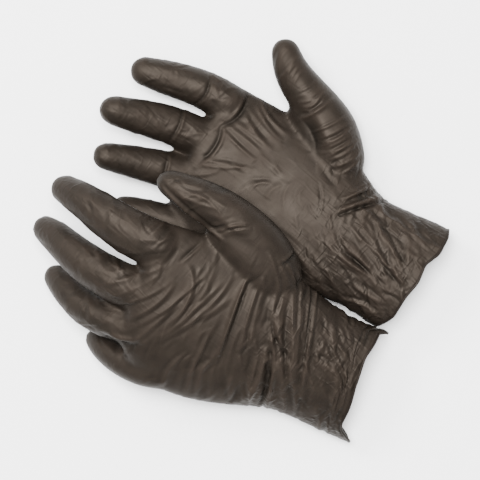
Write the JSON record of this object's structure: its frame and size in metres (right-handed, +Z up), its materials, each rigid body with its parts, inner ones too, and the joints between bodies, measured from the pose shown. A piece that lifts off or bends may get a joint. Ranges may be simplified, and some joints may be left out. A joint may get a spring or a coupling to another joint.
{
  "type": "disposable gloves",
  "caption": "Pair of thin dipped nitrile gloves, puffed out as if worn, one lying palm up and the other back up across it, with rolled cuffs.",
  "frame": {"origin": "bottom centre of the pair's box, on the table", "axes": "+Z up from the table, -X the way the fingers point, +Y the way the upright thumb points"},
  "size_m": [0.2626, 0.2532, 0.0679],
  "materials": {
    "nitrile_film": "satin charcoal black",
    "rolled_bead": "satin black, rolled edge"
  },
  "bodies": {
    "right_glove": {"right_palm": "nitrile_film", "right_cuff": "nitrile_film", "right_cuff_bead": "rolled_bead"},
    "left_glove": {"left_palm": "nitrile_film", "left_cuff": "nitrile_film", "left_cuff_bead": "rolled_bead"},
    "right_thumb": {"right_thumb": "nitrile_film"},
    "right_index_finger": {"right_index_finger": "nitrile_film"},
    "right_middle_finger": {"right_middle_finger": "nitrile_film"},
    "right_ring_finger": {"right_ring_finger": "nitrile_film"},
    "right_little_finger": {"right_little_finger": "nitrile_film"},
    "left_thumb": {"left_thumb": "nitrile_film"},
    "left_index_finger": {"left_index_finger": "nitrile_film"},
    "left_middle_finger": {"left_middle_finger": "nitrile_film"},
    "left_ring_finger": {"left_ring_finger": "nitrile_film"},
    "left_little_finger": {"left_little_finger": "nitrile_film"}
  },
  "joints": [
    {"name": "left_glove_lift", "type": "slide", "parent": "right_glove", "child": "left_glove", "axis": [0, 0, 1], "range_m": [0, 0.15]},
    {"name": "right_thumb_knuckle", "type": "hinge", "parent": "right_glove", "child": "right_thumb", "pos_m": [0.05161, 0.08121, 0.01871], "axis": [0.8743, 0.485, 0.0185], "range_deg": [0, 35], "stiffness_Nm_per_rad": 0.01},
    {"name": "right_index_finger_knuckle", "type": "hinge", "parent": "right_glove", "child": "right_index_finger", "pos_m": [-0.01501, 0.0907, 0.01382], "axis": [0.3257, 0.9455, -0.0061], "range_deg": [0, 45], "stiffness_Nm_per_rad": 0.01},
    {"name": "right_middle_finger_knuckle", "type": "hinge", "parent": "right_glove", "child": "right_middle_finger", "pos_m": [-0.03034, 0.06719, 0.01415], "axis": [0.2841, 0.9588, -0.0076], "range_deg": [0, 40], "stiffness_Nm_per_rad": 0.01},
    {"name": "right_ring_finger_knuckle", "type": "hinge", "parent": "right_glove", "child": "right_ring_finger", "pos_m": [-0.04296, 0.04331, 0.01286], "axis": [0.2166, 0.9762, -0.0099], "range_deg": [0, 32], "stiffness_Nm_per_rad": 0.01},
    {"name": "right_little_finger_knuckle", "type": "hinge", "parent": "right_glove", "child": "right_little_finger", "pos_m": [-0.03854, 0.00885, 0.01128], "axis": [0.2841, 0.9588, -0.0076], "range_deg": [0, 25], "stiffness_Nm_per_rad": 0.01},
    {"name": "left_thumb_knuckle", "type": "hinge", "parent": "left_glove", "child": "left_thumb", "pos_m": [0.00065, 0.00854, 0.05137], "axis": [0.506, 0.8468, 0.1639], "range_deg": [0, 25], "stiffness_Nm_per_rad": 0.01},
    {"name": "left_index_finger_knuckle", "type": "hinge", "parent": "left_glove", "child": "left_index_finger", "pos_m": [-0.06085, -0.00024, 0.05432], "axis": [0.4834, 0.8588, 0.1698], "range_deg": [0, 30], "stiffness_Nm_per_rad": 0.01},
    {"name": "left_middle_finger_knuckle", "type": "hinge", "parent": "left_glove", "child": "left_middle_finger", "pos_m": [-0.07289, -0.02772, 0.04848], "axis": [0.506, 0.8468, 0.1639], "range_deg": [0, 30], "stiffness_Nm_per_rad": 0.01},
    {"name": "left_ring_finger_knuckle", "type": "hinge", "parent": "left_glove", "child": "left_ring_finger", "pos_m": [-0.07524, -0.05406, 0.04125], "axis": [0.5355, 0.83, 0.1559], "range_deg": [0, 30], "stiffness_Nm_per_rad": 0.01},
    {"name": "left_little_finger_knuckle", "type": "hinge", "parent": "left_glove", "child": "left_little_finger", "pos_m": [-0.06984, -0.08005, 0.02955], "axis": [0.4758, 0.8626, 0.1717], "range_deg": [0, 30], "stiffness_Nm_per_rad": 0.01}
  ]
}
